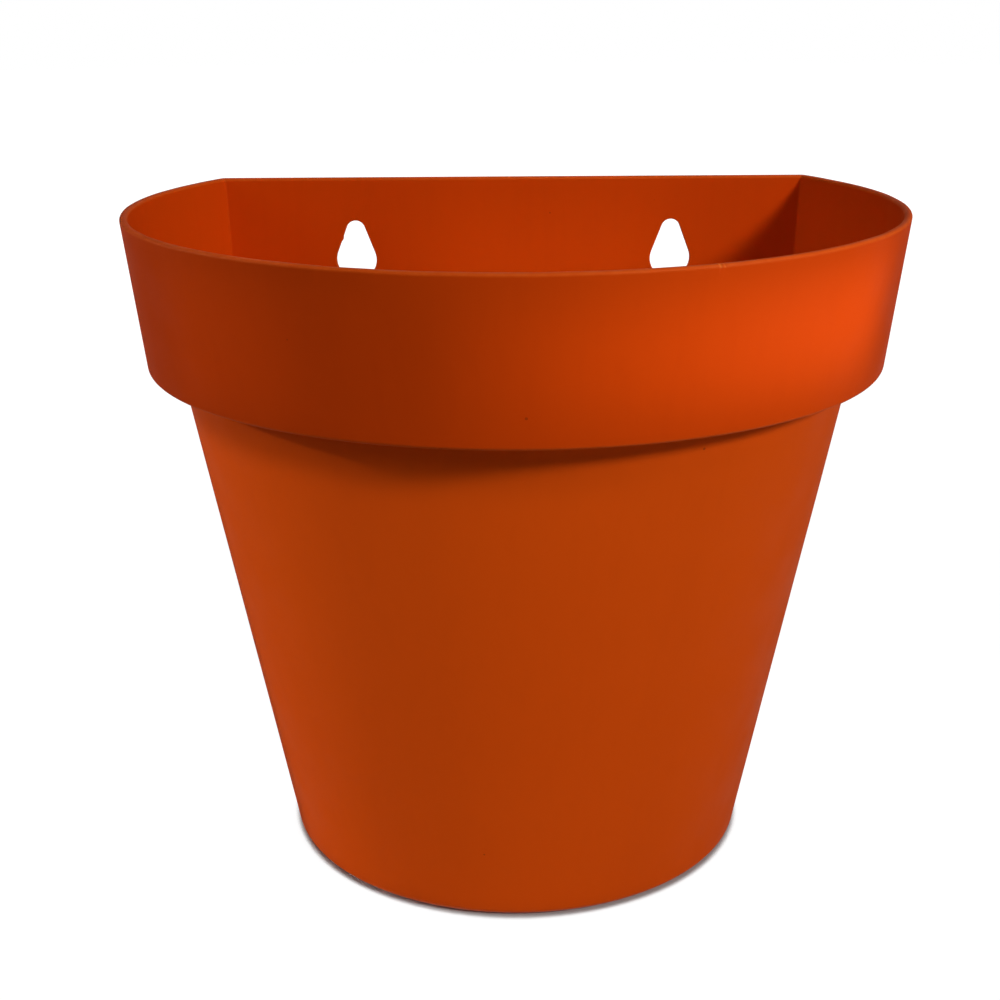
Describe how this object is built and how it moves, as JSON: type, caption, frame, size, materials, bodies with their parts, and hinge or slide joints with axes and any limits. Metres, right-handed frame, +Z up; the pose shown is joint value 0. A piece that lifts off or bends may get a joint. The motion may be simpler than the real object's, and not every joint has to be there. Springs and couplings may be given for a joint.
{
  "type": "hanging wall vase",
  "caption": "Flat-backed wall vase with a tapered D-shaped body, a stepped collar and teardrop hanging keyholes, with a lift-out drain grid and push-in drain plugs.",
  "frame": {"origin": "point of the flat wall face midway between the two hanging seats, on the level line through the screws' shanks", "axes": "+Z up, +Y into the wall, so the front of the pot points to -Y, and +X to the right as seen from the front"},
  "size_m": [0.2178, 0.1676, 0.2],
  "materials": {
    "pot_plastic": "satin moulded terracotta-orange polypropylene",
    "grid_plastic": "satin moulded polypropylene, a shade darker than the pot",
    "plug_rubber": "matt dark grey moulded rubber"
  },
  "bodies": {
    "pot": {"pot_body": "pot_plastic"},
    "grid": {"drain_grid": "grid_plastic"},
    "plug_left": {"drain_plug_left": "plug_rubber"},
    "plug_right": {"drain_plug_right": "plug_rubber"},
    "plug_front": {"drain_plug_front": "plug_rubber"}
  },
  "joints": [
    {"name": "grid_lift", "type": "slide", "parent": "pot", "child": "grid", "axis": [0, 0, 1], "range_m": [0, 0.2]},
    {"name": "plug_left_pull", "type": "slide", "parent": "pot", "child": "plug_left", "axis": [0, 0, -1], "range_m": [0, 0.012]},
    {"name": "plug_right_pull", "type": "slide", "parent": "pot", "child": "plug_right", "axis": [0, 0, -1], "range_m": [0, 0.012]},
    {"name": "plug_front_pull", "type": "slide", "parent": "pot", "child": "plug_front", "axis": [0, 0, -1], "range_m": [0, 0.012]}
  ]
}
